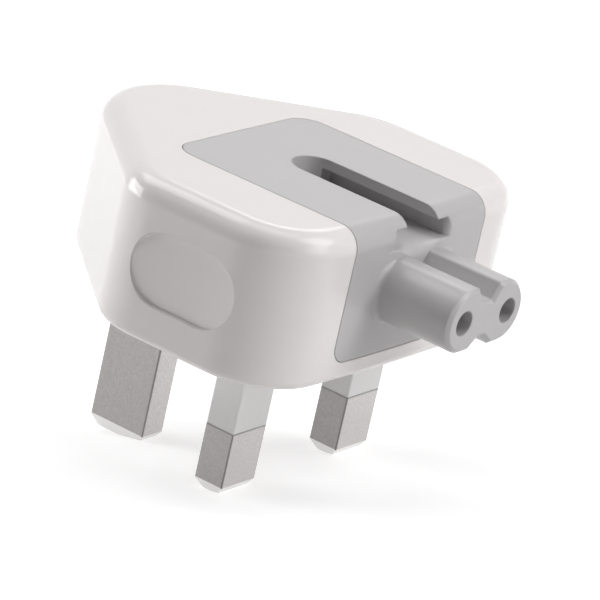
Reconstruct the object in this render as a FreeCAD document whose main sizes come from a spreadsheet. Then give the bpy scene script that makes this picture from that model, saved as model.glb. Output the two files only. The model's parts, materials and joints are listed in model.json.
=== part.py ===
import FreeCAD, Part

import math
import os

import Sketcher

# UK three pin plug head: white moulded shell, grey slide insert with a figure-eight spigot, three pins.
# Frame: z = 0 is the pin face that meets the socket, +Z leads out of the pins' side into the body,
# +Y is the earth side and x = 0 the plane of symmetry. y = 0 lies midway between the earth pin and the
# line through the other two. The spigot points along -Y and the line pin stands at +X. Millimetres.

SIZES = {
    # outer form of the body, seen from above
    "body_height": 18.4,
    "half_width": 24.0,
    "nose_reach": 21.2,
    "nose_radius": 11.05,
    "shoulder_radius": 9.4,
    "shoulder_y": -2.85,
    "front_reach": 22.8,
    "front_bow_radius": 330.0,
    "corner_radius": 9.0,
    "top_round": 2.6,
    "rim_round": 1.1,
    # shell walls
    "wall": 2.2,
    "rim_width": 1.4,
    "base_thickness": 2.0,
    # finger recess in each side
    "recess_length": 14.4,
    "recess_height": 8.8,
    "recess_y": -8.3,
    "recess_z": 9.0,
    "recess_depth": 0.6,
    "recess_bow_radius": 75.0,
    # grey insert
    "insert_half_width": 12.7,
    "insert_back": 4.35,
    "insert_corner": 3.0,
    "insert_sill": 2.4,
    "insert_foot_round": 2.3,
    "deck_step": 0.6,
    "flange_width": 1.0,
    "flange_thickness": 1.2,
    "seam": 0.08,
    # T slot
    "slot_half_width": 3.0,
    "slot_end": -4.1,
    "slot_depth": 3.5,
    "lip": 1.2,
    "undercut_half_width": 5.0,
    "undercut_end": -6.0,
    "mouth_round": 0.9,
    "undercut_mouth_round": 1.0,
    "sill_round": 1.8,
    "trough_wall": 1.5,
    "trough_floor": 1.3,
    # spigot
    "spigot_drop": 8.3,
    "spigot_reach": 33.0,
    "spigot_half_width": 7.35,
    "spigot_radius": 3.75,
    "groove_half_width": 2.1,
    "groove_floor_half_width": 0.9,
    "groove_depth": 1.9,
    "notch_half_width": 2.2,
    "notch_floor_half_width": 0.5,
    "notch_depth": 1.3,
    "spigot_round": 0.45,
    "spigot_chamfer": 0.45,
    "contact_pitch": 8.6,
    "contact_hole_radius": 1.5,
    "lead_in": 3.0,
    # pins
    "blade_pitch": 22.23,
    "earth_offset": 22.23,
    "blade_width": 6.35,
    "blade_thickness": 3.97,
    "blade_length": 17.7,
    "blade_tip": 1.3,
    "earth_width": 7.92,
    "earth_thickness": 3.97,
    "earth_length": 22.73,
    "earth_tip": 1.55,
    "tip_inset": 0.88,
    "pin_edge_round": 0.25,
    "sleeve_length": 9.7,
    "sleeve_wall": 0.6,
    "pin_flange": 1.1,
    "pin_flange_thickness": 1.5,
    "tail_radius": 0.9,
    "tail_head_radius": 1.5,
    "tail_head_height": 0.6,
    # pieces inside
    "fit_gap": 0.05,
    "inner_gap": 0.3,
    "carrier_thickness": 2.6,
    "strip_thickness": 0.6,
    "strip_width": 3.0,
    "contact_bore": 1.2,
    "contact_wall": 0.7,
    "contact_slit": 0.4,
    "tab_length": 3.4,
    "retainer_half_width": 8.4,
    "retainer_thickness": 1.8,
    "fuse_length": 25.4,
    "fuse_radius": 3.175,
    "fuse_cap_length": 5.6,
    "fuse_cap_wall": 0.3,
    "fuse_bore": 1.6,
    "fuse_wire_radius": 0.25,
    "clip_length": 4.2,
    "clip_opening": 2.2,
}

doc = FreeCAD.newDocument("plug_head")
dims = doc.addObject("Spreadsheet::Sheet", "Dims")
for row, (alias, size) in enumerate(SIZES.items(), start=1):
    dims.set(f"A{row}", alias)
    dims.set(f"B{row}", str(size))
    dims.setAlias(f"B{row}", alias)
doc.recompute()

PARTS = []


def expand(text):
    """An expression over the sheet's names, with each name led back to the sheet."""
    words = []
    word = ""
    for letter in text + " ":
        if letter.isalnum() or letter in "_.":
            word += letter
            continue
        words.append(f"Dims.{word}" if word in SIZES else word)
        words.append(letter)
        word = ""
    return "".join(words).strip()


def value(text):
    """The number that an expression over the sheet's names gives, in millimetres."""
    result = dims.evalExpression(text)
    return float(getattr(result, "Value", result))


def bind(thing, prop, text):
    thing.setExpression(prop, expand(text))


def new_body(name):
    return doc.addObject("PartDesign::Body", name)


def new_sketch(body, role, name, offset="0"):
    """A sketch on one of the body's own origin planes, moved along the plane's normal by offset."""
    plane = [f for f in body.Origin.OriginFeatures if f.Role == role][0]
    sketch = body.newObject("Sketcher::SketchObject", name)
    sketch.AttachmentSupport = [(plane, "")]
    sketch.MapMode = "FlatFace"
    if offset != "0":
        sketch.AttachmentOffset = FreeCAD.Placement(FreeCAD.Vector(0, 0, value(offset)), FreeCAD.Rotation())
        bind(sketch, "AttachmentOffset.Base.z", offset)
    return sketch


def pin_down(sketch, geometry, end, x, y):
    """Holds one point of a sketch at the place that two expressions give."""
    for kind, axis, text in (("DistanceX", -2, x), ("DistanceY", -1, y)):
        if text == "0":
            sketch.addConstraint(Sketcher.Constraint("PointOnObject", geometry, end, axis))
            continue
        index = sketch.addConstraint(Sketcher.Constraint(kind, -1, 1, geometry, end, value(text)))
        bind(sketch, f"Constraints[{index}]", text)


def set_radius(sketch, geometry, text):
    index = sketch.addConstraint(Sketcher.Constraint("Radius", geometry, value(text)))
    bind(sketch, f"Constraints[{index}]", text)


def add_outline(sketch, corners):
    """A closed outline of straight lines; each corner is a pair of expressions."""
    points = [FreeCAD.Vector(value(x), value(y), 0) for x, y in corners]
    first = sketch.GeometryCount
    count = len(points)
    for i in range(count):
        sketch.addGeometry(Part.LineSegment(points[i], points[(i + 1) % count]))
    for i in range(count):
        follower = first + (i + 1) % count
        sketch.addConstraint(Sketcher.Constraint("Coincident", first + i, 2, follower, 1))
        pin_down(sketch, first + i, 1, *corners[i])


def add_box(sketch, left, right, low, high):
    add_outline(sketch, [(left, low), (right, low), (right, high), (left, high)])


def add_circle(sketch, x, y, radius):
    centre = FreeCAD.Vector(value(x), value(y), 0)
    index = sketch.addGeometry(Part.Circle(centre, FreeCAD.Vector(0, 0, 1), value(radius)))
    pin_down(sketch, index, 3, x, y)
    set_radius(sketch, index, radius)


def add_arc(sketch, centre, radius, start, end):
    """An arc about centre, from the angle start to the angle end, in degrees, anticlockwise."""
    circle = Part.Circle(FreeCAD.Vector(*centre, 0), FreeCAD.Vector(0, 0, 1), radius)
    return sketch.addGeometry(Part.ArcOfCircle(circle, math.radians(start), math.radians(end)))


def pad(body, sketch, length, name, reverse=False):
    feature = body.newObject("PartDesign::Pad", name)
    feature.Profile = sketch
    feature.Reversed = reverse
    bind(feature, "Length", length)
    return feature


def pocket(body, sketch, length, name, reverse=False):
    feature = body.newObject("PartDesign::Pocket", name)
    feature.Profile = sketch
    feature.Reversed = reverse
    bind(feature, "Length", length)
    return feature


def edges_where(shape, test):
    return [f"Edge{i}" for i, edge in enumerate(shape.Edges, start=1) if test(edge)]


def round_edges(body, base, test, radius, name):
    """A fillet on the base feature's edges that pass the test."""
    doc.recompute()
    feature = body.newObject("PartDesign::Fillet", name)
    feature.Base = (base, edges_where(base.Shape, test))
    bind(feature, "Radius", radius)
    return feature


def upright(edge):
    return abs(edge.tangentAt(edge.FirstParameter).z) > 0.999


def flat_at(level):
    """A test for edges that lie wholly at the height that an expression gives."""
    height = value(level)
    return lambda edge: max(abs(edge.BoundBox.ZMin - height), abs(edge.BoundBox.ZMax - height)) < 1e-4


def boolean(kind, name, **links):
    thing = doc.addObject(kind, name)
    for prop, link in links.items():
        setattr(thing, prop, link)
    return thing


def keep(thing, label):
    """Marks an object as a sub-part, written to the file that its label names."""
    thing.Label = label
    PARTS.append(thing)
    return thing


# The body's outline from above: a round nose, straight flanks, wide round shoulders, straight sides,
# round corners and a faintly bowed front, each running smoothly into the next. The same outline, drawn
# inwards, gives the walls, the base plate and the carrier.

def plan_sketch(body, name, inset="0", offset="0"):
    sketch = new_sketch(body, "XY_Plane", name, offset)
    nose_y = value("nose_reach - nose_radius")
    nose = value(f"nose_radius - {inset}")
    shoulder_x = value("half_width - shoulder_radius")
    shoulder_y = value("shoulder_y")
    shoulder = value(f"shoulder_radius - {inset}")
    reach = math.hypot(shoulder_x, nose_y - shoulder_y)
    # the angle at which one straight flank touches both the nose and the shoulder
    touch = math.degrees(math.atan2(shoulder_y - nose_y, shoulder_x) + math.acos((nose - shoulder) / reach))
    corner = value(f"corner_radius - {inset}")
    corner_x = value("half_width - corner_radius")
    bow_y = value("front_bow_radius - front_reach")
    bow = value(f"front_bow_radius - {inset}")
    corner_y = bow_y - math.sqrt((bow - corner) ** 2 - corner_x ** 2)
    turn = math.degrees(math.atan2(corner_y - bow_y, corner_x))
    side_x = value(f"half_width - {inset}")

    def place(centre, radius, angle):
        x, y = centre
        return FreeCAD.Vector(x + radius * math.cos(math.radians(angle)),
                              y + radius * math.sin(math.radians(angle)), 0)

    def line(start, end):
        return sketch.addGeometry(Part.LineSegment(start, end))

    centre_left, centre_right = (-shoulder_x, shoulder_y), (shoulder_x, shoulder_y)
    nose_arc = add_arc(sketch, (0, nose_y), nose, touch, 180 - touch)
    flank_left = line(place((0, nose_y), nose, 180 - touch), place(centre_left, shoulder, 180 - touch))
    shoulder_left = add_arc(sketch, centre_left, shoulder, 180 - touch, 180)
    side_left = line(FreeCAD.Vector(-side_x, shoulder_y, 0), FreeCAD.Vector(-side_x, corner_y, 0))
    corner_left = add_arc(sketch, (-corner_x, corner_y), corner, 180, 180 - turn)
    front = add_arc(sketch, (0, bow_y), bow, 180 - turn, 360 + turn)
    corner_right = add_arc(sketch, (corner_x, corner_y), corner, turn, 0)
    side_right = line(FreeCAD.Vector(side_x, corner_y, 0), FreeCAD.Vector(side_x, shoulder_y, 0))
    shoulder_right = add_arc(sketch, centre_right, shoulder, 0, touch)
    flank_right = line(place(centre_right, shoulder, touch), place((0, nose_y), nose, touch))

    loop = (nose_arc, flank_left, shoulder_left, side_left, corner_left,
            front, corner_right, side_right, shoulder_right, flank_right)
    for before, after in zip(loop, loop[1:] + loop[:1]):
        sketch.addConstraint(Sketcher.Constraint("Tangent", before, 2, after, 1))
    sketch.addConstraint(Sketcher.Constraint("Vertical", side_left))
    sketch.addConstraint(Sketcher.Constraint("Vertical", side_right))
    pin_down(sketch, nose_arc, 3, "0", "nose_reach - nose_radius")
    set_radius(sketch, nose_arc, f"nose_radius - {inset}")
    pin_down(sketch, front, 3, "0", "front_bow_radius - front_reach")
    set_radius(sketch, front, f"front_bow_radius - {inset}")
    for arc, sign in ((shoulder_left, "-"), (shoulder_right, "")):
        pin_down(sketch, arc, 3, f"{sign}(half_width - shoulder_radius)", "shoulder_y")
        set_radius(sketch, arc, f"shoulder_radius - {inset}")
    for arc in (corner_left, corner_right):
        set_radius(sketch, arc, f"corner_radius - {inset}")
    return sketch


def plug_form():
    """The whole outer form, with the rounded top edge that shell and insert share."""
    body = new_body("plug_form")
    block = pad(body, plan_sketch(body, "form_outline"), "body_height", "form_pad")
    top = round_edges(body, block, flat_at("body_height"), "top_round", "form_top")
    round_edges(body, top, flat_at("0"), "rim_round", "form_rim")
    return body


def shell_hollow():
    """The space inside the shell, and under it the seat that the base plate fills."""
    body = new_body("shell_hollow")
    pad(body, plan_sketch(body, "seat_outline", "rim_width", "-1"), "base_thickness + 1", "seat_pad")
    room = plan_sketch(body, "room_outline", "wall", "base_thickness")
    pad(body, room, "body_height - wall - base_thickness", "room_pad")
    return body


# from the frontmost point of the body back to the inner face of the insert's front
FRONT_DEPTH = "(wall + fit_gap + flange_thickness)"
# from the top face down to the underside of the insert's deck, and of the trough that holds the slot
DECK_DEPTH = "(wall + deck_step)"
TROUGH_DEPTH = "(slot_depth + trough_floor)"
SPIGOT_Z = "(body_height - spigot_drop)"


def window_solid(name, gap):
    """The cut-out in the shell, or with a gap the part of the insert that fills it."""
    body = new_body(name)
    half = f"(insert_half_width - {gap})"
    deck = new_sketch(body, "XY_Plane", f"{name}_deck_outline", f"body_height - {DECK_DEPTH}")
    add_box(deck, f"-{half}", half, "-front_reach - 1", f"insert_back - {gap}")
    block = pad(body, deck, f"{DECK_DEPTH} + 1", f"{name}_deck")
    round_edges(body, block, lambda edge: upright(edge) and edge.BoundBox.YMin > 0,
                f"insert_corner - {gap}", f"{name}_corners")
    doc.recompute()
    panel = new_sketch(body, "XZ_Plane", f"{name}_panel_outline", f"front_reach - {FRONT_DEPTH}")
    add_box(panel, f"-{half}", half, f"insert_sill + {gap}", "body_height + 1")
    plate = pad(body, panel, f"{FRONT_DEPTH} + 1", f"{name}_panel")
    doc.recompute()
    sill = value(f"insert_sill + {gap}")

    def foot_corner(edge):
        box = edge.BoundBox
        return box.XLength < 1e-4 and box.ZLength < 1e-4 and abs(box.ZMin - sill) < 1e-4

    round_edges(body, plate, foot_corner, f"insert_foot_round - {gap}", f"{name}_feet")
    return body


def insert_flange():
    """The step round the insert's edge that bears on the inside of the shell."""
    body = new_body("insert_flange")
    half = "(insert_half_width + flange_width)"
    # the shell's front is bowed, so the flat flange stands back by the bow's depth at its own edge
    bow = f"({half}^2 / (2 * front_bow_radius))"
    face = f"(front_reach - wall - fit_gap - {bow})"
    inner = f"(front_reach - {FRONT_DEPTH})"
    high = "(body_height - wall - fit_gap)"
    deck = new_sketch(body, "XY_Plane", "flange_deck_outline", f"{high} - flange_thickness")
    add_box(deck, f"-{half}", half, f"-{face}", "insert_back + flange_width")
    plate = pad(body, deck, "flange_thickness", "flange_deck")
    round_edges(body, plate, lambda edge: upright(edge) and edge.BoundBox.YMin > 0,
                "insert_corner + flange_width", "flange_corners")
    doc.recompute()
    room = new_sketch(body, "XY_Plane", "flange_room_outline", f"{high} + 1")
    add_box(room, "flange_width - insert_half_width", "insert_half_width - flange_width",
            f"-{inner}", "insert_back - flange_width")
    pocket(body, room, "flange_thickness + 2", "flange_room")
    doc.recompute()
    panel = new_sketch(body, "XZ_Plane", "flange_panel_outline", inner)
    add_box(panel, f"-{half}", half, "insert_sill + seam", high)
    pad(body, panel, f"flange_thickness - {bow}", "flange_panel")
    return body


def slot_trough():
    """The block under the deck that the slot is cut into."""
    body = new_body("slot_trough")
    sketch = new_sketch(body, "XY_Plane", "trough_outline", f"body_height - {TROUGH_DEPTH}")
    half = "(undercut_half_width + trough_wall)"
    add_box(sketch, f"-{half}", half, f"1 - front_reach + {FRONT_DEPTH} - wall", "slot_end + trough_wall")
    pad(body, sketch, f"{TROUGH_DEPTH} - wall", "trough_pad")
    return body


def spigot():
    """The figure-eight spigot: an obround with a keying groove along its top and a notch below."""
    body = new_body("spigot")
    root = f"front_reach - {FRONT_DEPTH}"
    sketch = new_sketch(body, "XZ_Plane", "spigot_outline", root)
    radius = value("spigot_radius")
    lobe_x = value("spigot_half_width - spigot_radius")
    middle = value(SPIGOT_Z)
    right = add_arc(sketch, (lobe_x, middle), radius, -90, 90)
    left = add_arc(sketch, (-lobe_x, middle), radius, 90, 270)
    top = f"{SPIGOT_Z} + spigot_radius"
    low = f"{SPIGOT_Z} - spigot_radius"
    groove = f"{top} - groove_depth"
    notch = f"{low} + notch_depth"
    lobe = "(spigot_half_width - spigot_radius)"
    upper = [(lobe, top), ("groove_half_width", top), ("groove_floor_half_width", groove),
             ("-groove_floor_half_width", groove), ("-groove_half_width", top), (f"-{lobe}", top)]
    lower = [(f"-{lobe}", low), ("-notch_half_width", low), ("-notch_floor_half_width", notch),
             ("notch_floor_half_width", notch), ("notch_half_width", low), (lobe, low)]

    def run(corners):
        points = [FreeCAD.Vector(value(x), value(y), 0) for x, y in corners]
        lines = [sketch.addGeometry(Part.LineSegment(*pair)) for pair in zip(points, points[1:])]
        for before, after in zip(lines, lines[1:]):
            sketch.addConstraint(Sketcher.Constraint("Coincident", before, 2, after, 1))
        for line, corner in zip(lines[1:], corners[1:]):
            pin_down(sketch, line, 1, *corner)
        return lines

    above = run(upper)
    below = run(lower)
    for arc, place in ((right, lobe), (left, f"-{lobe}")):
        pin_down(sketch, arc, 3, place, SPIGOT_Z)
        set_radius(sketch, arc, "spigot_radius")
    ends = ((right, 2, above[0], 1), (above[-1], 2, left, 1), (left, 2, below[0], 1), (below[-1], 2, right, 1))
    for first, first_end, second, second_end in ends:
        sketch.addConstraint(Sketcher.Constraint("Tangent", first, first_end, second, second_end))
    bar = pad(body, sketch, f"spigot_reach - ({root})", "spigot_bar")
    doc.recompute()
    tip = -value("spigot_reach")
    step = value("groove_half_width")

    def groove_shoulder(edge):
        box = edge.BoundBox
        return box.XLength < 1e-4 and abs(abs(box.XMin) - step) < 1e-4 and box.ZMin > value(SPIGOT_Z)

    def at_tip(edge):
        box = edge.BoundBox
        return abs(box.YMin - tip) < 1e-4 and box.YLength < 1e-4

    shoulders = round_edges(body, bar, groove_shoulder, "spigot_round", "groove_shoulders")
    doc.recompute()
    bevel = body.newObject("PartDesign::Chamfer", "tip_bevel")
    bevel.Base = (shoulders, edges_where(shoulders.Shape, at_tip))
    bind(bevel, "Size", "spigot_chamfer")
    return body


def slot_cutter():
    """The T slot: a narrow way through the top, wider below its lips, open at the front over a round sill."""
    body = new_body("slot_cutter")

    def way(name, half, end, mouth, height):
        """One width of the slot, with its corners at the front rounded outwards."""
        apron = f"({half} + {mouth} + 1)"
        front = "-front_reach"
        sketch = new_sketch(body, "XY_Plane", f"{name}_outline", "body_height - slot_depth")
        add_outline(sketch, [
            (f"-{apron}", f"{front} - 1"), (apron, f"{front} - 1"), (apron, front), (half, front),
            (half, end), (f"-{half}", end), (f"-{half}", front), (f"-{apron}", front)])
        block = pad(body, sketch, height, name)
        side = value(half)

        def at_mouth(edge):
            point = edge.Vertexes[0]
            return upright(edge) and abs(point.Y - value(front)) < 1e-4 and abs(abs(point.X) - side) < 1e-4

        return round_edges(body, block, at_mouth, mouth, f"{name}_mouth")

    def closed_end(edge):
        point = edge.Vertexes[0]
        return upright(edge) and abs(point.Y - value("slot_end")) < 1e-4

    slot = way("slot_way", "slot_half_width", "slot_end", "mouth_round", "slot_depth + 1")
    round_edges(body, slot, closed_end, "slot_half_width * 0.999", "slot_closed_end")
    doc.recompute()
    way("slot_undercut", "undercut_half_width", "undercut_end", "undercut_mouth_round", "slot_depth - lip")
    doc.recompute()
    floor = "(body_height - slot_depth)"
    sill = new_sketch(body, "YZ_Plane", "sill_outline", "-undercut_half_width")
    add_box(sill, "-front_reach - 1", "sill_round - front_reach", f"{floor} - sill_round", f"{floor} + 0.5")
    pad(body, sill, "2 * undercut_half_width", "sill_corner")
    doc.recompute()
    roll = new_sketch(body, "YZ_Plane", "sill_roll_outline", "-undercut_half_width - 1")
    add_circle(roll, "sill_round - front_reach", f"{floor} - sill_round", "sill_round")
    pocket(body, roll, "2 * undercut_half_width + 2", "sill_roll", reverse=True)
    return body


def contact_bores():
    """Two stepped holes along the spigot: a lead-in for the mating pins, then the contacts' chambers."""
    body = new_body("contact_bores")
    chamber = "contact_bore + contact_wall + fit_gap"
    inside = f"(front_reach - {FRONT_DEPTH})"
    back = new_sketch(body, "XZ_Plane", "chamber_outline", f"{inside} - 1")
    hole = new_sketch(body, "XZ_Plane", "lead_in_outline", f"{inside} - 1")
    for side in ("-contact_pitch / 2", "contact_pitch / 2"):
        add_circle(back, side, SPIGOT_Z, chamber)
        add_circle(hole, side, SPIGOT_Z, "contact_hole_radius")
    pad(body, back, f"spigot_reach - lead_in - {inside} + 1", "chambers")
    pad(body, hole, f"spigot_reach - {inside} + 2", "lead_ins")
    return body


def finger_recess(name, side):
    """A shallow obround scoop for finger and thumb in the flat of one side, its floor hollowed lengthwise."""
    block = new_body(f"{name}_block")
    floor = "(half_width - recess_depth)"
    sketch = new_sketch(block, "YZ_Plane", f"{name}_outline", f"-{floor}" if side < 0 else floor)
    add_box(sketch, "recess_y - recess_length / 2", "recess_y + recess_length / 2",
            "recess_z - recess_height / 2", "recess_z + recess_height / 2")
    prism = pad(block, sketch, "recess_depth + 1", f"{name}_prism", reverse=side < 0)
    round_edges(
        block, prism, lambda edge: edge.BoundBox.XLength > 1, "recess_height / 2 * 0.999", f"{name}_ends")
    scoop = new_body(f"{name}_scoop")
    disc = new_sketch(scoop, "XY_Plane", f"{name}_scoop_outline", "recess_z - recess_height / 2 - 0.5")
    middle = f"({floor} + recess_bow_radius)"
    add_circle(disc, f"-{middle}" if side < 0 else middle, "recess_y", "recess_bow_radius")
    pad(scoop, disc, "recess_height + 1", f"{name}_disc")
    return boolean("Part::Common", name, Base=block, Tool=scoop)


def pin_aperture(body, base, name, x, y, width, depth):
    sketch = new_sketch(body, "XY_Plane", f"{name}_aperture", "-1")
    half_x = f"({width} / 2 + fit_gap)"
    half_y = f"({depth} / 2 + fit_gap)"
    add_box(sketch, f"{x} - {half_x}", f"{x} + {half_x}", f"{y} - {half_y}", f"{y} + {half_y}")
    return pocket(body, sketch, "base_thickness + 2", f"{name}_hole", reverse=True)


BLADES = {"neutral": "(-blade_pitch / 2)", "line": "(blade_pitch / 2)"}
BLADE_Y = "(-earth_offset / 2)"
EARTH_Y = "(earth_offset / 2)"


def base_plate():
    """The white pin face, flush inside the shell's rim, with a slot for each pin."""
    body = new_body("base_plate_body")
    last = pad(body, plan_sketch(body, "base_outline", "(rim_width + seam)"), "base_thickness", "base_pad")
    doc.recompute()
    for name, x in BLADES.items():
        last = pin_aperture(body, last, name, x, BLADE_Y, "blade_width", "blade_thickness")
    last = pin_aperture(body, last, "earth", "0", EARTH_Y, "earth_thickness", "earth_width")
    body.Tip = last
    return keep(body, "base_plate")


def flange_pocket(body, name, x, y, width, depth):
    """Room under the carrier for a pin's flange, which it clamps to the base plate."""
    sketch = new_sketch(body, "XY_Plane", f"{name}_pocket_outline", "base_thickness")
    half_x = f"({width} / 2 + pin_flange + fit_gap)"
    half_y = f"({depth} / 2 + pin_flange + fit_gap)"
    add_box(sketch, f"{x} - {half_x}", f"{x} + {half_x}", f"{y} - {half_y}", f"{y} + {half_y}")
    return pocket(body, sketch, "pin_flange_thickness", f"{name}_flange_pocket", reverse=True)


def pin_carrier():
    """The inner moulding that holds the pins down and carries the fuse, its clips and the strips."""
    body = new_body("pin_carrier_body")
    outline = plan_sketch(body, "carrier_outline", "(wall + 0.2)", "base_thickness")
    last = pad(body, outline, "carrier_thickness", "carrier_pad")
    doc.recompute()
    for name, x in BLADES.items():
        last = flange_pocket(body, name, x, BLADE_Y, "blade_width", "blade_thickness")
    last = flange_pocket(body, "earth", "0", EARTH_Y, "earth_thickness", "earth_width")
    tails = new_sketch(body, "XY_Plane", "tail_holes_outline", "base_thickness")
    for x in BLADES.values():
        add_circle(tails, x, BLADE_Y, "tail_radius + fit_gap")
    pocket(body, tails, "carrier_thickness + 1", "tail_holes", reverse=True)
    doc.recompute()
    # the carrier steps back round the foot of the grey insert
    notch = new_sketch(body, "XY_Plane", "insert_notch_outline", "base_thickness")
    half = "(insert_half_width + flange_width + fit_gap)"
    add_box(notch, f"-{half}", half, "-front_reach", f"{FRONT_DEPTH} + fit_gap - front_reach")
    body.Tip = pocket(body, notch, "carrier_thickness + 1", "insert_notch", reverse=True)
    return keep(body, "pin_carrier")


def tip_slopes(body, role, offset, centre, width, through, length, tip):
    """Cuts the two slopes of a pin's tip that are seen on the given plane, from side to side."""
    sketch = new_sketch(body, role, f"{role[:2]}_slopes", offset)
    for sign in ("+", "-"):
        inner = f"{centre} {sign} ({width} / 2 - 1.5 * tip_inset)"
        outer = f"{centre} {sign} ({width} / 2 + 0.5 * tip_inset)"
        below = f"-{length} - 0.5 * {tip}"
        add_outline(sketch, [(inner, below), (outer, f"-{length} + 1.5 * {tip}"), (outer, below)])
    return pocket(body, sketch, f"{through} + 2", f"{role[:2]}_slope_cut")


def pin_blade(body, x, y, width, depth, length, tip):
    """A rectangular pin from the base plate down, its long edges rounded and its tip sloped on all sides."""
    sketch = new_sketch(body, "XY_Plane", "blade_outline")
    add_box(sketch, f"{x} - {width} / 2", f"{x} + {width} / 2", f"{y} - {depth} / 2", f"{y} + {depth} / 2")
    blade = pad(body, sketch, length, "blade", reverse=True)
    round_edges(body, blade, upright, "pin_edge_round", "blade_edges")
    doc.recompute()
    tip_slopes(body, "XZ_Plane", f"{depth} / 2 + 1 - {y}", x, width, depth, length, tip)
    doc.recompute()
    tip_slopes(body, "YZ_Plane", f"{x} + {width} / 2 + 1", y, depth, width, length, tip)
    doc.recompute()


def root_block(body, name, x, y, half_x, half_y, start, height):
    """A rectangular block of the pin's root, from the level start upwards."""
    sketch = new_sketch(body, "XY_Plane", f"{name}_outline", start)
    add_box(sketch, f"{x} - {half_x}", f"{x} + {half_x}", f"{y} - {half_y}", f"{y} + {half_y}")
    return pad(body, sketch, height, name)


def earth_pin():
    """The long bare pin; its flange lies on the base plate under the carrier."""
    body = new_body("earth_pin_body")
    pin_blade(body, "0", EARTH_Y, "earth_thickness", "earth_width", "earth_length", "earth_tip")
    root_block(body, "neck", "0", EARTH_Y, "earth_thickness / 2", "earth_width / 2", "0", "base_thickness")
    root_block(body, "flange", "0", EARTH_Y, "(earth_thickness / 2 + pin_flange)",
               "(earth_width / 2 + pin_flange)", "base_thickness", "pin_flange_thickness - fit_gap")
    return keep(body, "earth_pin")


def live_pin(name, x):
    """A short pin, thinned where its sleeve sits, with a flange and a riveted tail."""
    body = new_body(f"{name}_pin_body")
    pin_blade(body, x, BLADE_Y, "blade_width", "blade_thickness", "blade_length", "blade_tip")
    ring = new_sketch(body, "XY_Plane", "sleeve_seat_outline", "-sleeve_length")
    half_x, half_y = "(blade_width / 2 + 1)", "(blade_thickness / 2 + 1)"
    core_x, core_y = "(blade_width / 2 - sleeve_wall)", "(blade_thickness / 2 - sleeve_wall)"
    add_box(ring, f"{x} - {half_x}", f"{x} + {half_x}", f"{BLADE_Y} - {half_y}", f"{BLADE_Y} + {half_y}")
    add_box(ring, f"{x} - {core_x}", f"{x} + {core_x}", f"{BLADE_Y} - {core_y}", f"{BLADE_Y} + {core_y}")
    pocket(body, ring, "sleeve_length + 1", "sleeve_seat", reverse=True)
    doc.recompute()
    root_block(body, "neck", x, BLADE_Y, core_x, core_y, "0", "base_thickness")
    root_block(body, "flange", x, BLADE_Y, "(blade_width / 2 + pin_flange)",
               "(blade_thickness / 2 + pin_flange)", "base_thickness", "pin_flange_thickness - fit_gap")
    deck = "base_thickness + pin_flange_thickness - fit_gap"
    top = "base_thickness + carrier_thickness + strip_thickness"
    post = new_sketch(body, "XY_Plane", "tail_outline", deck)
    add_circle(post, x, BLADE_Y, "tail_radius")
    pad(body, post, f"{top} - ({deck})", "tail")
    head = new_sketch(body, "XY_Plane", "tail_head_outline", top)
    add_circle(head, x, BLADE_Y, "tail_head_radius")
    pad(body, head, "tail_head_height", "tail_head")
    return keep(body, f"{name}_pin")


def pin_sleeve(name, x):
    """The white insulating sleeve, flush with the metal below it and let into the base plate."""
    body = new_body(f"{name}_sleeve_body")
    sketch = new_sketch(body, "XY_Plane", "sleeve_outline", "-sleeve_length")
    add_box(sketch, f"{x} - blade_width / 2", f"{x} + blade_width / 2",
            f"{BLADE_Y} - blade_thickness / 2", f"{BLADE_Y} + blade_thickness / 2")
    tube = pad(body, sketch, "sleeve_length + base_thickness", "sleeve_pad")
    round_edges(body, tube, upright, "pin_edge_round", "sleeve_edges")
    doc.recompute()
    core = new_sketch(body, "XY_Plane", "core_outline", "-sleeve_length - 1")
    core_x, core_y = "(blade_width / 2 - sleeve_wall)", "(blade_thickness / 2 - sleeve_wall)"
    add_box(core, f"{x} - {core_x}", f"{x} + {core_x}", f"{BLADE_Y} - {core_y}", f"{BLADE_Y} + {core_y}")
    pocket(body, core, "sleeve_length + base_thickness + 2", "core_hole", reverse=True)
    return keep(body, f"{name}_sleeve")


CONTACTS = {"neutral": "(-contact_pitch / 2)", "line": "(contact_pitch / 2)"}
CONTACT_FRONT = "(spigot_reach - lead_in)"
CONTACT_BACK = f"(front_reach - {FRONT_DEPTH})"
CONTACT_LENGTH = f"({CONTACT_FRONT} - {CONTACT_BACK})"
STRIP_LOW = "(base_thickness + carrier_thickness)"
TAB_LOW = f"({SPIGOT_Z} - strip_thickness / 2)"


def tube_contact(name, x):
    """A rolled tube that grips the mating pin, split along its underside, with a flat tab behind."""
    body = new_body(f"{name}_contact_body")
    outer = "contact_bore + contact_wall"
    ring = new_sketch(body, "XZ_Plane", "tube_outline", CONTACT_BACK)
    add_circle(ring, x, SPIGOT_Z, outer)
    add_circle(ring, x, SPIGOT_Z, "contact_bore")
    pad(body, ring, CONTACT_LENGTH, "tube")
    doc.recompute()
    slit = new_sketch(body, "XZ_Plane", "slit_outline", f"{CONTACT_BACK} + 2")
    add_box(slit, f"{x} - contact_slit / 2", f"{x} + contact_slit / 2", f"{SPIGOT_Z} - ({outer}) - 1", SPIGOT_Z)
    pocket(body, slit, CONTACT_LENGTH, "slit", reverse=True)
    doc.recompute()
    tab = new_sketch(body, "XZ_Plane", "tab_outline", f"{CONTACT_BACK} - tab_length")
    half = "(strip_width / 2)"
    add_box(tab, f"{x} - {half}", f"{x} + {half}", TAB_LOW, f"{TAB_LOW} + strip_thickness")
    pad(body, tab, "tab_length + 1", "tab")
    return keep(body, f"{name}_contact")


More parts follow.
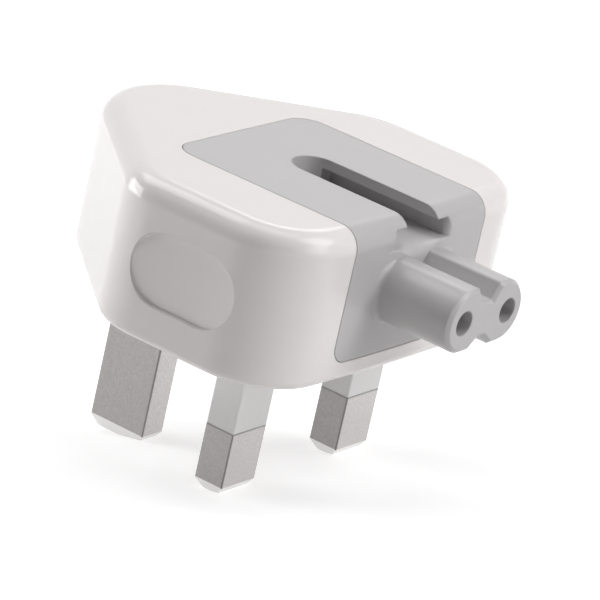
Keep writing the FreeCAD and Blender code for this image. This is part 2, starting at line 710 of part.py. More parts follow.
def contact_retainer():
    """The bar behind the spigot that stops the contacts from being pushed in, slotted for their tabs."""
    body = new_body("contact_retainer_body")
    sketch = new_sketch(body, "XZ_Plane", "retainer_outline", f"{CONTACT_BACK} - fit_gap - retainer_thickness")
    high = f"(body_height - {TROUGH_DEPTH} - fit_gap)"
    add_box(sketch, "-retainer_half_width", "retainer_half_width", STRIP_LOW, high)
    pad(body, sketch, "retainer_thickness", "retainer_bar")
    doc.recompute()
    slots = new_sketch(body, "XZ_Plane", "tab_slots_outline", f"{CONTACT_BACK} + 1")
    half = "(strip_width / 2 + fit_gap)"
    for x in CONTACTS.values():
        add_box(slots, f"{x} - {half}", f"{x} + {half}", f"{TAB_LOW} - fit_gap",
                f"{TAB_LOW} + strip_thickness + fit_gap")
    pocket(body, slots, "retainer_thickness + 2", "tab_slots")
    return keep(body, "contact_retainer")


LANDING = f"(-{CONTACT_BACK} + retainer_thickness + 2 * fit_gap)"
RISER_BACK = f"(-{CONTACT_BACK} + tab_length + 0.8)"


def strip_riser(body, x):
    """The strip's upturned end: a riser behind the retainer and a flat that lies under the contact's tab."""
    left, right = f"{x} - strip_width / 2", f"{x} + strip_width / 2"
    wall = new_sketch(body, "XY_Plane", "riser_outline", STRIP_LOW)
    add_box(wall, left, right, RISER_BACK, f"{RISER_BACK} + strip_thickness")
    pad(body, wall, f"{TAB_LOW} - {STRIP_LOW}", "riser")
    doc.recompute()
    flat = new_sketch(body, "XY_Plane", "landing_outline", f"{TAB_LOW} - strip_thickness")
    add_box(flat, left, right, LANDING, f"{RISER_BACK} + strip_thickness")
    pad(body, flat, "strip_thickness", "landing")
    doc.recompute()


def neutral_strip():
    """From the neutral pin's riveted tail straight to its contact."""
    body = new_body("neutral_strip_body")
    x = CONTACTS["neutral"]
    pin_x = BLADES["neutral"]
    half = "(strip_width / 2)"
    eye = "(strip_width / 2 + 0.4)"
    low = new_sketch(body, "XY_Plane", "foot_outline", STRIP_LOW)
    add_outline(low, [
        (f"{pin_x} - {eye}", f"{BLADE_Y} - {eye}"), (f"{x} - {half}", f"{BLADE_Y} - {eye}"),
        (f"{x} - {half}", RISER_BACK), (f"{x} + {half}", RISER_BACK),
        (f"{x} + {half}", f"{BLADE_Y} + {eye}"), (f"{pin_x} - {eye}", f"{BLADE_Y} + {eye}")])
    pad(body, low, "strip_thickness", "foot")
    doc.recompute()
    strip_riser(body, x)
    hole = new_sketch(body, "XY_Plane", "eyelet_outline", f"{STRIP_LOW} - 1")
    add_circle(hole, pin_x, BLADE_Y, "tail_radius + fit_gap")
    body.Tip = pocket(body, hole, "strip_thickness + 2", "eyelet", reverse=True)
    return keep(body, "neutral_strip")


FUSE_Z = f"({STRIP_LOW} + strip_thickness + fuse_radius)"
FUSE_Y = "(slot_end + trough_wall + inner_gap + strip_thickness + fuse_radius)"
CLIP_X = "(fuse_length / 2 - fuse_cap_length / 2)"
CLIP_START = {"line": f"({CLIP_X} - clip_length / 2)", "load": f"(-{CLIP_X} - clip_length / 2)"}
CLIP_OUTER = "(fuse_radius + strip_thickness)"


def fuse_clip(body, side):
    """A sprung U that grips one cap of the fuse."""
    start = CLIP_START[side]
    ring = new_sketch(body, "YZ_Plane", "clip_outline", start)
    add_circle(ring, FUSE_Y, FUSE_Z, CLIP_OUTER)
    add_circle(ring, FUSE_Y, FUSE_Z, "fuse_radius")
    pad(body, ring, "clip_length", "clip_ring")
    doc.recompute()
    gap = new_sketch(body, "YZ_Plane", "clip_gap_outline", f"{start} - 1")
    add_box(gap, f"{FUSE_Y} - clip_opening", f"{FUSE_Y} + clip_opening", FUSE_Z, f"{FUSE_Z} + {CLIP_OUTER} + 1")
    pocket(body, gap, "clip_length + 2", "clip_gap", reverse=True)
    doc.recompute()


def line_clip():
    """The clip on the supply side; its foot runs to the line pin's riveted tail."""
    body = new_body("fuse_clip_line_body")
    fuse_clip(body, "line")
    low = new_sketch(body, "XY_Plane", "foot_outline", STRIP_LOW)
    pin_x = BLADES["line"]
    add_box(low, f"{pin_x} - strip_width / 2 - 0.4", f"{pin_x} + strip_width / 2 + 0.4",
            f"{BLADE_Y} - strip_width / 2 - 0.4", f"{FUSE_Y} + 1.5")
    pad(body, low, "strip_thickness", "foot")
    doc.recompute()
    hole = new_sketch(body, "XY_Plane", "eyelet_outline", f"{STRIP_LOW} - 1")
    add_circle(hole, pin_x, BLADE_Y, "tail_radius + fit_gap")
    body.Tip = pocket(body, hole, "strip_thickness + 2", "eyelet", reverse=True)
    return keep(body, "fuse_clip_line")


def load_clip():
    """The clip on the far side, one stamping with the strip that leads up to the line contact."""
    body = new_body("fuse_clip_load_body")
    fuse_clip(body, "load")
    x = CONTACTS["line"]
    half = "(strip_width / 2)"
    start = CLIP_START["load"]
    far = f"({FUSE_Y} - fuse_radius - strip_thickness - 0.4)"
    low = new_sketch(body, "XY_Plane", "foot_outline", STRIP_LOW)
    add_outline(low, [
        (start, f"{far} - strip_width"), (f"{x} - {half}", f"{far} - strip_width"),
        (f"{x} - {half}", RISER_BACK), (f"{x} + {half}", RISER_BACK),
        (f"{x} + {half}", far), (f"{start} + clip_length", far),
        (f"{start} + clip_length", f"{FUSE_Y} + 1.5"), (start, f"{FUSE_Y} + 1.5")])
    pad(body, low, "strip_thickness", "foot")
    doc.recompute()
    strip_riser(body, x)
    return keep(body, "fuse_clip_load")


def fuse():
    """The cartridge fuse: a ceramic tube with the wire through it and a pressed cap on each end."""
    cap_inner = "(fuse_radius - fuse_cap_wall)"
    end = "(fuse_length / 2)"
    tube = new_body("fuse_barrel_body")
    ring = new_sketch(tube, "YZ_Plane", "barrel_outline", f"-({end} - fuse_cap_wall)")
    add_circle(ring, FUSE_Y, FUSE_Z, cap_inner)
    add_circle(ring, FUSE_Y, FUSE_Z, "fuse_bore")
    pad(tube, ring, "fuse_length - 2 * fuse_cap_wall", "barrel")
    keep(tube, "fuse_barrel")
    wire = new_body("fuse_wire_body")
    line = new_sketch(wire, "YZ_Plane", "wire_outline", f"-({end} - fuse_cap_wall)")
    add_circle(line, FUSE_Y, FUSE_Z, "fuse_wire_radius")
    pad(wire, line, "fuse_length - 2 * fuse_cap_wall", "wire")
    keep(wire, "fuse_wire")
    for name, side in (("fuse_cap_line", 1), ("fuse_cap_load", -1)):
        cap = new_body(f"{name}_body")
        start = f"{end} - fuse_cap_length" if side > 0 else f"-{end}"
        disc = new_sketch(cap, "YZ_Plane", "cap_outline", start)
        add_circle(disc, FUSE_Y, FUSE_Z, "fuse_radius")
        pad(cap, disc, "fuse_cap_length", "cap_pad")
        doc.recompute()
        inner = f"{end} - fuse_cap_length - 1" if side > 0 else f"-{end} + fuse_cap_wall"
        room = new_sketch(cap, "YZ_Plane", "cap_room_outline", inner)
        add_circle(room, FUSE_Y, FUSE_Z, cap_inner)
        pocket(cap, room, "fuse_cap_length - fuse_cap_wall + 1", "cap_room", reverse=True)
        keep(cap, name)


def outer_shell(form):
    """The white moulding: the outer form less its hollow, the insert's window and the finger recesses."""
    tools = [shell_hollow(), window_solid("shell_window", "0"),
             finger_recess("recess_left", -1), finger_recess("recess_right", 1)]
    cutter = boolean("Part::MultiFuse", "shell_tools", Shapes=tools)
    return keep(boolean("Part::Cut", "outer_shell", Base=form, Tool=cutter), "outer_shell")


def connector_insert(form):
    """The grey moulding: its skin is the form's own, so both pieces share one rounded edge."""
    skin = boolean("Part::Common", "insert_skin", Base=form, Tool=window_solid("insert_block", "seam"))
    whole = boolean("Part::MultiFuse", "insert_whole", Shapes=[skin, insert_flange(), slot_trough(), spigot()])
    cuts = boolean("Part::MultiFuse", "insert_cuts", Shapes=[slot_cutter(), contact_bores()])
    return keep(boolean("Part::Cut", "connector_insert", Base=whole, Tool=cuts), "connector_insert")


def check(thing):
    shape = thing.Shape
    if shape.isNull() or not shape.isValid() or not shape.Solids:
        raise RuntimeError(f"{thing.Label}: no valid solid")
    if len(shape.Solids) != 1:
        raise RuntimeError(f"{thing.Label}: {len(shape.Solids)} solids, one expected")


outer = plug_form()
outer_shell(outer)
connector_insert(outer)
base_plate()
pin_carrier()
earth_pin()
for side, place in BLADES.items():
    live_pin(side, place)
    pin_sleeve(side, place)
for side, place in CONTACTS.items():
    tube_contact(side, place)
contact_retainer()
neutral_strip()
line_clip()
load_clip()
fuse()
doc.recompute()

for thing in doc.Objects:
    if "Invalid" in thing.State or "Error" in thing.State:
        raise RuntimeError(f"{thing.Label} failed: {thing.State}")

os.makedirs("parts", exist_ok=True)
for part in PARTS:
    check(part)
    part.Shape.exportStep(f"parts/{part.Label}.step")
    box = part.Shape.BoundBox
    print(f"{part.Label:18} {part.Shape.Volume:9.1f} mm3  x {box.XMin:.2f}..{box.XMax:.2f}"
          f"  y {box.YMin:.2f}..{box.YMax:.2f}  z {box.ZMin:.2f}..{box.ZMax:.2f}")
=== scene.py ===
import json
import math

import bpy
from mathutils import Matrix, Vector


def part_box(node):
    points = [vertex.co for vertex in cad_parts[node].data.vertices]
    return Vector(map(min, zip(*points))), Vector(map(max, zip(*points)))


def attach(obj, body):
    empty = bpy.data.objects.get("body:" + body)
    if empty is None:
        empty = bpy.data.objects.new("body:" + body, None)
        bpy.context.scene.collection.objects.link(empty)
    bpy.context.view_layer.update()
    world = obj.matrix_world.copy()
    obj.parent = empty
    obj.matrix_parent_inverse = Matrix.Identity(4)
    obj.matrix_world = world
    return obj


# Looks of a UK three pin plug head. Metres throughout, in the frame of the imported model: the pins point
# down (-Z), the figure-eight spigot forward (-Y), and the earth pin stands at the back (+Y).

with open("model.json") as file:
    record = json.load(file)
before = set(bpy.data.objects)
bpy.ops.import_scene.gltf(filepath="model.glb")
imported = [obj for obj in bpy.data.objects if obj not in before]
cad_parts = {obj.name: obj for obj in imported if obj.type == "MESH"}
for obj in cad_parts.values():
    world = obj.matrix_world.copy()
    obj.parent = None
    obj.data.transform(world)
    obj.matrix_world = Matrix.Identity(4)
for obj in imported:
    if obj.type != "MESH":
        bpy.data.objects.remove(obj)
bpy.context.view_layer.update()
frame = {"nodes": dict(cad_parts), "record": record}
mount_places = {mount["name"]: mount["pos_m"] for mount in frame["record"]["mounts"]}


# Small helpers for node trees

def new_material(name):
    material = bpy.data.materials.new(name)
    material.use_nodes = True
    nodes = material.node_tree.nodes
    return material, nodes, material.node_tree.links, nodes["Principled BSDF"]


def place_on_object(nodes, links, stretch=(1, 1, 1)):
    """Coordinates fixed to the object, in metres, stretched where a grain has a direction."""
    where = nodes.new("ShaderNodeTexCoord")
    mapping = nodes.new("ShaderNodeMapping")
    mapping.inputs["Scale"].default_value = stretch
    links.new(where.outputs["Object"], mapping.inputs["Vector"])
    return mapping.outputs["Vector"]


def split_axes(nodes, links, vector):
    """The sockets X, Y and Z of a vector."""
    split = nodes.new("ShaderNodeSeparateXYZ")
    links.new(vector, split.inputs[0])
    return split.outputs


def noise(nodes, links, vector, size, detail=2.0, roughness=0.5):
    """Noise whose features are about size metres across."""
    texture = nodes.new("ShaderNodeTexNoise")
    texture.inputs["Scale"].default_value = 1 / size
    texture.inputs["Detail"].default_value = detail
    texture.inputs["Roughness"].default_value = roughness
    links.new(vector, texture.inputs["Vector"])
    return texture.outputs["Fac"]


def spread(nodes, links, value, low, high, source=(0.3, 0.7), clamp=False):
    """Maps the range source to the range low..high; left alone, source is where most of a noise lies."""
    mapped = nodes.new("ShaderNodeMapRange")
    mapped.clamp = clamp
    mapped.inputs["From Min"].default_value, mapped.inputs["From Max"].default_value = source
    mapped.inputs["To Min"].default_value, mapped.inputs["To Max"].default_value = low, high
    links.new(value, mapped.inputs["Value"])
    return mapped.outputs["Result"]


def math_node(nodes, links, operation, first, second):
    """A node of arithmetic; each operand is a socket or a plain number."""
    node = nodes.new("ShaderNodeMath")
    node.operation = operation
    for place, operand in enumerate((first, second)):
        if isinstance(operand, (int, float)):
            node.inputs[place].default_value = operand
        else:
            links.new(operand, node.inputs[place])
    return node.outputs[0]


def times(nodes, links, first, second):
    return math_node(nodes, links, "MULTIPLY", first, second)


def larger(nodes, links, first, second):
    return math_node(nodes, links, "MAXIMUM", first, second)


def blend(nodes, links, fac, under, over):
    """The colour under, turning to the colour over where fac is 1; each is a socket or a plain colour."""
    mix = nodes.new("ShaderNodeMix")
    mix.data_type = "RGBA"
    links.new(fac, mix.inputs["Factor"])
    for socket, colour in ((mix.inputs["A"], under), (mix.inputs["B"], over)):
        if isinstance(colour, tuple):
            socket.default_value = (*colour, 1)
        else:
            links.new(colour, socket)
    return mix.outputs["Result"]


def two_tone(nodes, links, fac, dark, light):
    """A colour between dark and light, as a noise goes."""
    return blend(nodes, links, spread(nodes, links, fac, 0, 1), dark, light)


def bumps(nodes, links, height, distance, below=None):
    """Normals of a relief distance metres deep, laid over the normals below."""
    bump = nodes.new("ShaderNodeBump")
    bump.inputs["Strength"].default_value = 1.0
    bump.inputs["Distance"].default_value = distance
    links.new(height, bump.inputs["Height"])
    if below is not None:
        links.new(below, bump.inputs["Normal"])
    return bump.outputs["Normal"]


def soft_edges(nodes, radius):
    """Normals that turn round the edges within radius, as a moulding's small edge rounds do."""
    bevel = nodes.new("ShaderNodeBevel")
    bevel.samples = 6
    bevel.inputs["Radius"].default_value = radius
    return bevel.outputs["Normal"]


def shade(colour, factor):
    return tuple(c * factor for c in colour)


# Materials: sizes and depths in metres, tones and gloss ranges as factors of the colour and the roughness

CLOUD_SIZE, CLOUD_TONES = 0.009, (0.994, 1.005)
GLOSS_PATCH, GLOSS_RANGE = 0.004, (0.93, 1.07)
WAVE_SIZE, WAVE_DEPTH = 0.006, 0.000012
SKIN_SIZE, SKIN_DEPTH = 0.0003, 0.0000008
PLASTIC_IOR = 1.5


def moulded_plastic(name, colour, roughness, edge=0.00018, grain=0.0):
    """A moulded plastic: faint clouding, slow waves in the gloss, soft edges and a fine skin.

    edge is the radius of the edge rounds, and grain the depth that a rougher skin adds.
    """
    material, nodes, links, shader = new_material(name)
    vector = place_on_object(nodes, links)
    clouds = noise(nodes, links, vector, CLOUD_SIZE, detail=3)
    dark, light = (shade(colour, tone) for tone in CLOUD_TONES)
    links.new(two_tone(nodes, links, clouds, dark, light), shader.inputs["Base Color"])
    patches = noise(nodes, links, vector, GLOSS_PATCH)
    glossy, dull = (roughness * factor for factor in GLOSS_RANGE)
    links.new(spread(nodes, links, patches, glossy, dull), shader.inputs["Roughness"])
    slow = noise(nodes, links, vector, WAVE_SIZE, detail=1)
    waves = bumps(nodes, links, slow, WAVE_DEPTH, below=soft_edges(nodes, edge))
    skin = noise(nodes, links, vector, SKIN_SIZE, detail=2)
    links.new(bumps(nodes, links, skin, SKIN_DEPTH + grain, below=waves), shader.inputs["Normal"])
    shader.inputs["IOR"].default_value = PLASTIC_IOR
    return material


GRAIN_SIZE, ROUGHNESS_SWING = 0.00016, 0.06


def grained_metal(name, colour, roughness, stretch=(1, 1, 1), depth=0.000006, tone=0.07):
    """A plated or rolled metal with a fine grain, drawn out along the axis that stretch makes small."""
    material, nodes, links, shader = new_material(name)
    vector = place_on_object(nodes, links, stretch)
    grain = noise(nodes, links, vector, GRAIN_SIZE, detail=4, roughness=0.65)
    links.new(two_tone(nodes, links, grain, shade(colour, 1 - tone), shade(colour, 1 + tone)),
              shader.inputs["Base Color"])
    links.new(spread(nodes, links, grain, roughness + ROUGHNESS_SWING, roughness - ROUGHNESS_SWING),
              shader.inputs["Roughness"])
    links.new(bumps(nodes, links, grain, depth), shader.inputs["Normal"])
    shader.inputs["Metallic"].default_value = 1.0
    return material


# Painted shade on the pins: how much their sides, edge rounds and plate below a sleeve darken, and the
# tones they go to.
# Painted reflection on the tip's bevels, which are told by how far their normals point down.
SIDE_PAINTED_SHADE, SIDE_SHADE_TONE = 0.42, 0.15
EDGE_PAINTED_SHADE, EDGE_SHADE_TONE = 3.4, 0.2
COLLAR_PAINTED_SHADE, COLLAR_SHADE_DEPTH = 0.85, 0.00028
TIP_REFLECTION_FACING, TIP_PAINTED_REFLECTION = (-0.35, -0.2), (0.76, 0.75, 0.74)


def plated_pin(name, colour, collar=None):
    """Nickel plate with painted shade on the sides and along the edge rounds, and a painted reflection on
    the tip's bevels.

    collar is the level of a sleeve's end, below which a thin line of painted shade darkens the plate.
    """
    material = grained_metal(name, colour, roughness=0.45, stretch=(1, 1, 0.6), tone=0.12)
    nodes, links = material.node_tree.nodes, material.node_tree.links
    base = nodes["Principled BSDF"].inputs["Base Color"]
    grain = base.links[0].from_socket
    geometry = nodes.new("ShaderNodeNewGeometry")
    facing = split_axes(nodes, links, geometry.outputs["Normal"])
    across = times(nodes, links, facing["X"], facing["X"])
    along = times(nodes, links, facing["Y"], facing["Y"])
    # Painted shade: faces turned along X are darkened towards a shaded tone of the plate.
    painted_shade_sides = blend(nodes, links, times(nodes, links, across, SIDE_PAINTED_SHADE), grain, shade(colour, SIDE_SHADE_TONE))
    # Painted shade along the edge rounds, where the normal lies between X and Y.
    dark = times(nodes, links, times(nodes, links, across, along), EDGE_PAINTED_SHADE)
    if collar is not None:
        # Painted shade: a thin dark band on the plate just below the sleeve's end.
        level = split_axes(nodes, links, geometry.outputs["Position"])["Z"]
        collar_shade = spread(nodes, links, level, 0.0, COLLAR_PAINTED_SHADE, source=(collar - COLLAR_SHADE_DEPTH, collar),
                      clamp=True)
        dark = larger(nodes, links, dark, collar_shade)
    with_painted_shade = blend(nodes, links, dark, painted_shade_sides, shade(colour, EDGE_SHADE_TONE))
    # Painted reflection: bevels whose normals point down are turned to a bright pale colour.
    tip = spread(nodes, links, facing["Z"], 1.0, 0.0, source=TIP_REFLECTION_FACING, clamp=True)
    links.new(blend(nodes, links, tip, with_painted_shade, TIP_PAINTED_REFLECTION), base)
    return material


SPECK_SIZE, SPECK_TONE, GLAZE_DEPTH = 0.0005, 0.96, 0.000004
GLAZE_ROUGHNESS, GLAZE_IOR = (0.18, 0.25), 1.55


def glazed_ceramic(name, colour):
    """A white tube with faint specks under an uneven glaze."""
    material, nodes, links, shader = new_material(name)
    vector = place_on_object(nodes, links)
    specks = noise(nodes, links, vector, SPECK_SIZE, detail=5)
    links.new(two_tone(nodes, links, specks, shade(colour, SPECK_TONE), colour),
              shader.inputs["Base Color"])
    links.new(spread(nodes, links, specks, *GLAZE_ROUGHNESS), shader.inputs["Roughness"])
    links.new(bumps(nodes, links, specks, GLAZE_DEPTH), shader.inputs["Normal"])
    shader.inputs["IOR"].default_value = GLAZE_IOR
    return material


SLEEVE_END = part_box("line_sleeve")[0].z

WHITE = moulded_plastic("white_gloss", (0.885, 0.848, 0.842), roughness=0.16)
GREY = moulded_plastic("grey_satin", (0.535, 0.52, 0.523), roughness=0.31, edge=0.0003)
CARRIER = moulded_plastic("carrier_natural", (0.72, 0.7, 0.66), roughness=0.5, grain=0.000002)
SLEEVE = moulded_plastic("sleeve_satin", (0.91, 0.902, 0.898), roughness=0.34, grain=0.000001)
PLATED = plated_pin("nickel_plate", (0.62, 0.598, 0.59))
PLATED_LIVE = plated_pin("nickel_plate_live", (0.57, 0.55, 0.542), collar=SLEEVE_END)
TINNED = grained_metal("tin_plate", (0.66, 0.65, 0.62), roughness=0.35)
BRASS = grained_metal("rolled_brass", (0.72, 0.55, 0.27), roughness=0.36, stretch=(0.3, 1, 1))
CAP = grained_metal("cap_plate", (0.7, 0.69, 0.66), roughness=0.36, depth=0.000003, tone=0.03)
CERAMIC = glazed_ceramic("fuse_ceramic", (0.84, 0.82, 0.78))

FINISHES = {
    "white_plastic": WHITE,
    "grey_plastic": GREY,
    "carrier_plastic": CARRIER,
    "pin_metal": PLATED,
    "sleeve_plastic": SLEEVE,
    "contact_metal": TINNED,
    "strip_metal": BRASS,
    "fuse_ceramic": CERAMIC,
    "fuse_metal": CAP,
}
SLEEVED_PINS = ("line_pin", "neutral_pin")


def dress_nodes():
    """Every carried-over piece gets the material of its slot in the record, or the sleeved pins' plate."""
    for part in frame["record"]["subparts"]:
        thing = frame["nodes"][part["node"]]
        finish = PLATED_LIVE if part["node"] in SLEEVED_PINS else FINISHES[part["material_slot"]]
        thing.data.materials.clear()
        thing.data.materials.append(finish)


# The insert's soft shapes round the slot's mouth, as smooth sheets laid over it. In section the spigot is
# two lobes joined by flats, with a round-shouldered keying groove on top and a notch below.

LOBE_X, LOBE_RADIUS, SPIGOT_LEVEL = 0.0036, 0.00375, mount_places["line_contact_hole"][2]
NOTCH_HALF_WIDTH, NOTCH_FLOOR_HALF_WIDTH, NOTCH_DEPTH = 0.0022, 0.0005, 0.0013
FRONT_REACH, FRONT_BOW_RADIUS = 0.0228, 0.33
SLOT_FLOOR, SILL_ROUND, SILL_HALF_WIDTH = mount_places["t_slot"][2], 0.0018, 0.005

HAIR = 0.000004         # how far a sheet stands proud, or its edges are let in
OVERLAP = 0.0001        # how far a sheet runs on past the edge that it meets
SHARP = 0.00002         # the round of an edge that looks sharp


def ease(part):
    """A smooth rise from 0 to 1 as part goes from 0 to 1."""
    part = min(1, max(0, part))
    return part * part * (3 - 2 * part)


def front_at(x):
    """Where the insert's faintly bowed front stands."""
    return x * x / (2 * FRONT_BOW_RADIUS) - FRONT_REACH


def on_circle(x, z, radius, degrees):
    """A point on a circle in the spigot's section, degrees from +X towards +Z."""
    angle = math.radians(degrees)
    return x + radius * math.cos(angle), z + radius * math.sin(angle)


def add_grey_sheet(name, points, steps):
    """A smooth sheet through rows of points, each row steps long."""
    rows = len(points) // steps
    faces = [(i * steps + j, (i + 1) * steps + j, (i + 1) * steps + j + 1, i * steps + j + 1)
             for i in range(rows - 1) for j in range(steps - 1)]
    mesh = bpy.data.meshes.new(name)
    mesh.from_pydata(points, [], faces)
    mesh.shade_smooth()
    mesh.materials.append(GREY)
    sheet = bpy.data.objects.new(name, mesh)
    bpy.context.scene.collection.objects.link(sheet)
    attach(sheet, "root")


# The fillet round the spigot's root is full at the sides, smaller below and gone on top. Its path starts at
# the top of a lobe, in degrees, and at a corner of the notch it looks midway between the two sides.
ROOT_FULL, ROOT_LOW, ROOT_TURNS = 0.00075, 0.00032, 8
ROOT_FROM, ROOT_TO, ROOT_STEPS, ROOT_EASING = 92, 270, 30, 8
NOTCH_ROOTS = (0.0003, 0.00025, 0.0002, 0.0002)
DOWN, NOTCH_CORNER = Vector((0, -1)), Vector((0.32, -0.947))


def root_path():
    """From the top of one lobe round its outside and into the notch: place, outward direction, fillet."""
    centre = Vector((-LOBE_X, SPIGOT_LEVEL))
    path = []
    for step in range(ROOT_STEPS + 1):
        away = Vector(on_circle(0, 0, 1, ROOT_FROM + (ROOT_TO - ROOT_FROM) * step / ROOT_STEPS))
        grown = (ROOT_FULL - SHARP) * ease(step / ROOT_EASING)
        shrunk = (ROOT_FULL - ROOT_LOW) * ease((step - ROOT_STEPS + ROOT_EASING) / ROOT_EASING)
        path.append((centre + LOBE_RADIUS * away, away, SHARP + grown - shrunk))
    bottom = SPIGOT_LEVEL - LOBE_RADIUS
    notch = (
        (-(LOBE_X + NOTCH_HALF_WIDTH) / 2, bottom, DOWN),
        (-NOTCH_HALF_WIDTH, bottom, NOTCH_CORNER),
        (-NOTCH_FLOOR_HALF_WIDTH, bottom + NOTCH_DEPTH, NOTCH_CORNER),
        (0, bottom + NOTCH_DEPTH, DOWN),
    )
    return path + [(Vector((x, z)), away, size) for (x, z, away), size in zip(notch, NOTCH_ROOTS)]


def add_root_fillet():
    """The soft root of the spigot, from lobe to lobe underneath."""
    left = root_path()
    flip = Vector((-1, 1))
    right = [(place * flip, away * flip, size) for place, away, size in reversed(left[:-1])]
    points = []
    for place, away, size in left + right:
        for step in range(ROOT_TURNS + 1):
            turn = math.pi / 2 * (1 - step / ROOT_TURNS)
            x, z = place + away * (size * (1 - math.cos(turn)) - HAIR)
            points.append((x, front_at(x) - size * (1 - math.sin(turn)) + HAIR, z))
    add_grey_sheet("spigot_root", points, ROOT_TURNS + 1)


# The sill's round is full to SILL_FLAT either side of the middle, and has run out at the slot's sides
SILL_FLAT, SILL_REACH = 0.0008, 0.0063
SILL_COLUMNS, SILL_TURNS = 60, 10


def add_sill_blend():
    """The slot's sill: rolled over in the middle, and drawn up to the front's sharp edge at both ends."""
    level = SLOT_FLOOR + HAIR
    points = []
    for column in range(SILL_COLUMNS + 1):
        x = SILL_REACH * (1 - 2 * column / SILL_COLUMNS)
        run_out = ease((abs(x) - SILL_FLAT) / (SILL_HALF_WIDTH - SILL_FLAT))
        radius = SHARP + (SILL_ROUND - SHARP) * (1 - run_out)
        front = front_at(x) - HAIR
        points.append((x, SILL_ROUND - FRONT_REACH + OVERLAP, level))
        for step in range(SILL_TURNS + 1):
            turn = math.pi / 2 * step / SILL_TURNS
            points.append((x, front + radius * (1 - math.sin(turn)), level - radius * (1 - math.cos(turn))))
        points.append((x, front, SLOT_FLOOR - SILL_ROUND - OVERLAP))
    add_grey_sheet("slot_sill", points, SILL_TURNS + 3)


# A lobe's crown: its round up to the top, the round shoulder of the groove, and two points down its side
CROWN_FROM, CROWN_TO, CROWN_STEPS = 128, 90, 12
SHOULDER_X, SHOULDER_Z, SHOULDER_RADIUS = -0.0023481, 0.0134, 0.00045
SHOULDER_TURN, SHOULDER_STEPS = 57.7, 8
GROOVE_SIDE = ((-0.0019511, 0.0136179), (-0.0015994, 0.0130611))
CROWN_LENGTH, CROWN_ROWS = 0.00145, 4


def lobe_crown():
    """The top of the left lobe in section."""
    crown = [on_circle(-LOBE_X, SPIGOT_LEVEL, LOBE_RADIUS + HAIR / 2,
                       CROWN_FROM - (CROWN_FROM - CROWN_TO) * step / CROWN_STEPS)
             for step in range(CROWN_STEPS + 1)]
    shoulder = [on_circle(SHOULDER_X, SHOULDER_Z, SHOULDER_RADIUS + HAIR / 2,
                          CROWN_TO - SHOULDER_TURN * step / SHOULDER_STEPS)
                for step in range(SHOULDER_STEPS + 1)]
    return crown + shoulder + list(GROOVE_SIDE)


def add_lobe_roots():
    """The crowns of both lobes, carried back to the insert's front."""
    for side, name in ((1, "lobe_root_neutral"), (-1, "lobe_root_line")):
        points = []
        for x, z in lobe_crown()[::-side]:
            for row in range(CROWN_ROWS + 1):
                points.append((side * x, -FRONT_REACH + OVERLAP - CROWN_LENGTH * row / CROWN_ROWS, z))
        add_grey_sheet(name, points, CROWN_ROWS + 1)


# Stage, camera and light

# The table's level at y = 0, its rise over each metre of y, and the distances over which its glow grows
TABLE_LEVEL, TABLE_SLOPE, TABLE_REACH = -0.0202, -0.2252, 1.2
TABLE_COLOUR, TABLE_ROUGHNESS = (0.78, 0.78, 0.78), 0.9
TABLE_GLOW, TABLE_GLOW_SPAN = (0.5, 1.0), (0.15, 0.5)


def seen_directly(nodes, links):
    """1 for the rays that show the surroundings: seen by the camera, mirrored, or through a clear piece."""
    path = nodes.new("ShaderNodeLightPath")
    seen = larger(nodes, links, path.outputs["Is Camera Ray"], path.outputs["Is Glossy Ray"])
    return larger(nodes, links, seen, path.outputs["Is Transmission Ray"])


def white_table():
    """A matt white that glows where it is seen, more so away from the plug, and is clear from below."""
    material, nodes, links, shader = new_material("table_white")
    shader.inputs["Base Color"].default_value = (*TABLE_COLOUR, 1)
    shader.inputs["Roughness"].default_value = TABLE_ROUGHNESS
    shader.inputs["Specular IOR Level"].default_value = 0.0
    distance = nodes.new("ShaderNodeVectorMath")
    distance.operation = "LENGTH"
    links.new(place_on_object(nodes, links), distance.inputs[0])
    lift = spread(nodes, links, distance.outputs["Value"], *TABLE_GLOW, source=TABLE_GLOW_SPAN, clamp=True)
    glow = nodes.new("ShaderNodeEmission")
    links.new(times(nodes, links, seen_directly(nodes, links), lift), glow.inputs["Strength"])
    both = nodes.new("ShaderNodeAddShader")
    links.new(shader.outputs[0], both.inputs[0])
    links.new(glow.outputs[0], both.inputs[1])
    side = nodes.new("ShaderNodeNewGeometry")
    clear = nodes.new("ShaderNodeBsdfTransparent")
    choose = nodes.new("ShaderNodeMixShader")
    links.new(side.outputs["Backfacing"], choose.inputs["Fac"])
    links.new(both.outputs[0], choose.inputs[1])
    links.new(clear.outputs[0], choose.inputs[2])
    links.new(choose.outputs[0], nodes["Material Output"].inputs["Surface"])
    return material


def add_table():
    """The level table that the three pin tips stand on, which leans in the plug's own frame."""
    corners = [(x, y, TABLE_LEVEL + TABLE_SLOPE * y) for x, y in
               ((-TABLE_REACH, -TABLE_REACH), (TABLE_REACH, -TABLE_REACH),
                (TABLE_REACH, TABLE_REACH), (-TABLE_REACH, TABLE_REACH))]
    mesh = bpy.data.meshes.new("table")
    mesh.from_pydata(corners, [], [(0, 1, 2, 3)])
    mesh.materials.append(white_table())
    table = bpy.data.objects.new("table", mesh)
    bpy.context.scene.collection.objects.link(table)


# What mirrored rays see on the shaded side, the span of x over which it clears, and the room's own light
ROOM_SHADE, ROOM_SHADE_SPAN, ROOM_LIGHT = 0.3, (-0.5, 0.2), 0.01


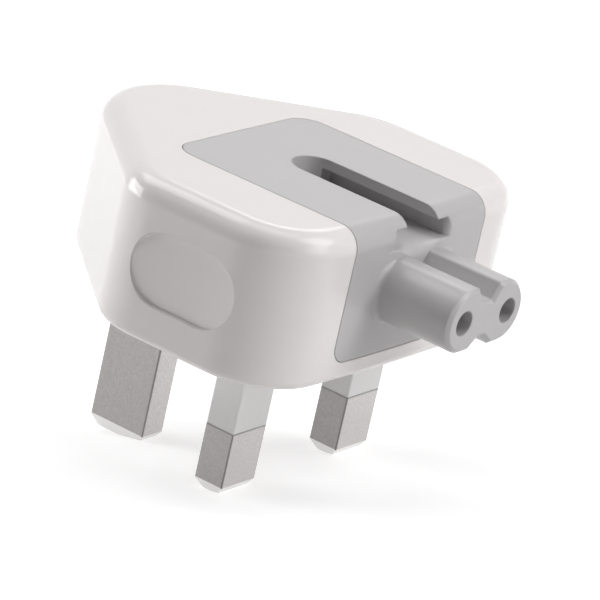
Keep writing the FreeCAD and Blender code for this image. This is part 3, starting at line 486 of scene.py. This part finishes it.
def light_world():
    """A plain pale room: white where it is seen, shaded on one side where mirrored, faint as light."""
    world = bpy.data.worlds.new("room")
    bpy.context.scene.world = world
    world.use_nodes = True
    nodes, links = world.node_tree.nodes, world.node_tree.links
    back = nodes["Background"]
    back.inputs["Color"].default_value = (1, 1, 1, 1)
    path = nodes.new("ShaderNodeLightPath")
    where = nodes.new("ShaderNodeTexCoord")
    across = split_axes(nodes, links, where.outputs["Generated"])["X"]
    room = spread(nodes, links, across, ROOM_SHADE, 1.0, source=ROOM_SHADE_SPAN, clamp=True)
    mirrored = times(nodes, links, path.outputs["Is Glossy Ray"], room)
    seen = larger(nodes, links, path.outputs["Is Camera Ray"], path.outputs["Is Transmission Ray"])
    strength = larger(nodes, links, seen, mirrored)
    links.new(spread(nodes, links, strength, ROOM_LIGHT, 1.0, source=(0, 1)), back.inputs["Strength"])


LAMP_TARGET = Vector((0, 0, 0.01))
LARGE, SMALL = 0.45, 0.24

# Each softbox: its name, its place, the side of its square and its power in watts
SOFTBOXES = (
    ("key", (0.25, -0.42, 0.6), LARGE, 2.45),
    ("front", (0.1, -0.75, 0.3), LARGE, 1.85),
    ("back", (0, 0.5, 0.6), LARGE, 1.7),
    ("top", (0, 0.05, 0.78), LARGE, 1.05),
    ("low_back", (-0.2, 0.75, 0.0), LARGE, 3.25),
    ("upper_left", (-0.5, 0.25, 0.6), LARGE, 0.4),
    ("rim", (0.56, 0.3, 0.48), SMALL, 0.35),
)


def add_softbox(name, place, side, power):
    """A square lamp that faces the plug and isn't seen itself."""
    lamp = bpy.data.lights.new(name, "AREA")
    lamp.shape = "RECTANGLE"
    lamp.size = side
    lamp.size_y = side
    lamp.energy = power
    thing = bpy.data.objects.new(name, lamp)
    bpy.context.scene.collection.objects.link(thing)
    thing.location = place
    thing.rotation_mode = "QUATERNION"
    thing.rotation_quaternion = (LAMP_TARGET - Vector(place)).to_track_quat("-Z", "Y")
    thing.visible_camera = False


CAMERA_PLACE = (-0.411746, -0.268422, 0.183405)
CAMERA_RIGHT = Vector((0.58521102, -0.78420172, 0.20629038))
CAMERA_UP = Vector((0.1701022, 0.36746554, 0.91434912))
CAMERA_BACK = Vector((-0.79283877, -0.49999673, 0.34843932))


def add_camera():
    """The photograph's place, direction and field of view, found from the pins' known sizes."""
    data = bpy.data.cameras.new("photo_camera")
    data.sensor_fit = "HORIZONTAL"
    data.sensor_width = 36.0
    data.lens = 273.084
    data.clip_start = 0.02
    data.clip_end = 20.0
    camera = bpy.data.objects.new("photo_camera", data)
    bpy.context.scene.collection.objects.link(camera)
    turn = Matrix((CAMERA_RIGHT, CAMERA_UP, CAMERA_BACK)).transposed().to_4x4()
    camera.matrix_world = Matrix.Translation(CAMERA_PLACE) @ turn
    bpy.context.scene.camera = camera


dress_nodes()
add_root_fillet()
add_sill_blend()
add_lobe_roots()
add_table()
light_world()
for softbox in SOFTBOXES:
    add_softbox(*softbox)
add_camera()
bpy.context.scene.view_settings.view_transform = "Standard"
